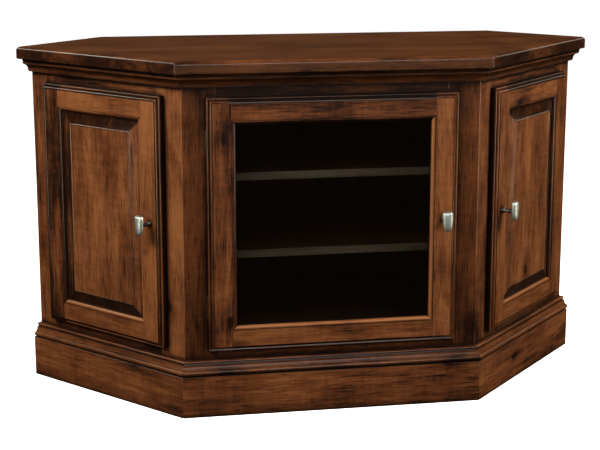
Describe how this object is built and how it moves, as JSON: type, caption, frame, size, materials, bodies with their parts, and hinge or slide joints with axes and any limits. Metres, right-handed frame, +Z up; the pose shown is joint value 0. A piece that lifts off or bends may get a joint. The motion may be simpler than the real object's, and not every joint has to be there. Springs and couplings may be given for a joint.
{
  "type": "corner television cabinet",
  "caption": "Wooden corner television cabinet with angled wings, a glazed centre door over shelves, raised-panel wing doors, a moulded top and a plinth base.",
  "frame": {"origin": "centre of the bounding box at floor level, knobs included", "axes": "+Z up, -Y out of the glazed front, +X to the right as seen from the front"},
  "size_m": [1.315, 0.5304, 0.762],
  "materials": {
    "stained_wood": "dark reddish brown stain, satin",
    "dark_inner_wood": "dark stain, matt",
    "clear_glass": "clear",
    "satin_nickel": "satin nickel plate",
    "hinge_steel": "zinc plate"
  },
  "bodies": {
    "cabinet": {"back_panel": "dark_inner_wood", "base_cap_moulding_front": "stained_wood", "base_cap_moulding_left": "stained_wood", "base_cap_moulding_right": "stained_wood", "bottom_panel": "dark_inner_wood", "centre_lower_hinge_frame_leaf": "hinge_steel", "centre_upper_hinge_frame_leaf": "hinge_steel", "corner_post_left": "stained_wood", "corner_post_right": "stained_wood", "crown_moulding_front": "stained_wood", "crown_moulding_left": "stained_wood", "crown_moulding_right": "stained_wood", "front_bottom_rail": "stained_wood", "front_top_rail": "stained_wood", "left_lower_hinge_frame_leaf": "hinge_steel", "left_upper_hinge_frame_leaf": "hinge_steel", "lower_shelf": "dark_inner_wood", "partition_left": "dark_inner_wood", "partition_right": "dark_inner_wood", "plinth_board_front": "stained_wood", "plinth_board_left": "stained_wood", "plinth_board_right": "stained_wood", "rear_side_panel_left": "stained_wood", "rear_side_panel_right": "stained_wood", "right_lower_hinge_frame_leaf": "hinge_steel", "right_upper_hinge_frame_leaf": "hinge_steel", "side_shelf_left": "dark_inner_wood", "side_shelf_right": "dark_inner_wood", "top_panel": "stained_wood", "upper_shelf": "dark_inner_wood", "wing_bottom_rail_left": "stained_wood", "wing_bottom_rail_right": "stained_wood", "wing_stile_left": "stained_wood", "wing_stile_right": "stained_wood", "wing_top_rail_left": "stained_wood", "wing_top_rail_right": "stained_wood"},
    "centre_door": {"centre_door_bottom_rail": "stained_wood", "centre_door_glass": "clear_glass", "centre_door_hinge_stile": "stained_wood", "centre_door_knob": "satin_nickel", "centre_door_knob_stile": "stained_wood", "centre_door_top_rail": "stained_wood", "centre_lower_hinge_door_leaf": "hinge_steel", "centre_upper_hinge_door_leaf": "hinge_steel"},
    "left_door": {"left_door_bottom_rail": "stained_wood", "left_door_hinge_stile": "stained_wood", "left_door_knob": "satin_nickel", "left_door_knob_stile": "stained_wood", "left_door_raised_panel": "stained_wood", "left_door_top_rail": "stained_wood", "left_lower_hinge_door_leaf": "hinge_steel", "left_upper_hinge_door_leaf": "hinge_steel"},
    "right_door": {"right_door_bottom_rail": "stained_wood", "right_door_hinge_stile": "stained_wood", "right_door_knob": "satin_nickel", "right_door_knob_stile": "stained_wood", "right_door_raised_panel": "stained_wood", "right_door_top_rail": "stained_wood", "right_lower_hinge_door_leaf": "hinge_steel", "right_upper_hinge_door_leaf": "hinge_steel"}
  },
  "joints": [
    {"name": "centre_door_hinge", "type": "hinge", "parent": "cabinet", "child": "centre_door", "pos_m": [-0.2625, -0.2145, 0.4125], "axis": [0, 0, -1], "range_deg": [0, 105]},
    {"name": "left_door_hinge", "type": "hinge", "parent": "cabinet", "child": "left_door", "pos_m": [-0.59461, 0.06191, 0.4125], "axis": [0, 0, -1], "range_deg": [0, 105]},
    {"name": "right_door_hinge", "type": "hinge", "parent": "cabinet", "child": "right_door", "pos_m": [0.59461, 0.06191, 0.4125], "axis": [0, 0, 1], "range_deg": [0, 105]}
  ]
}
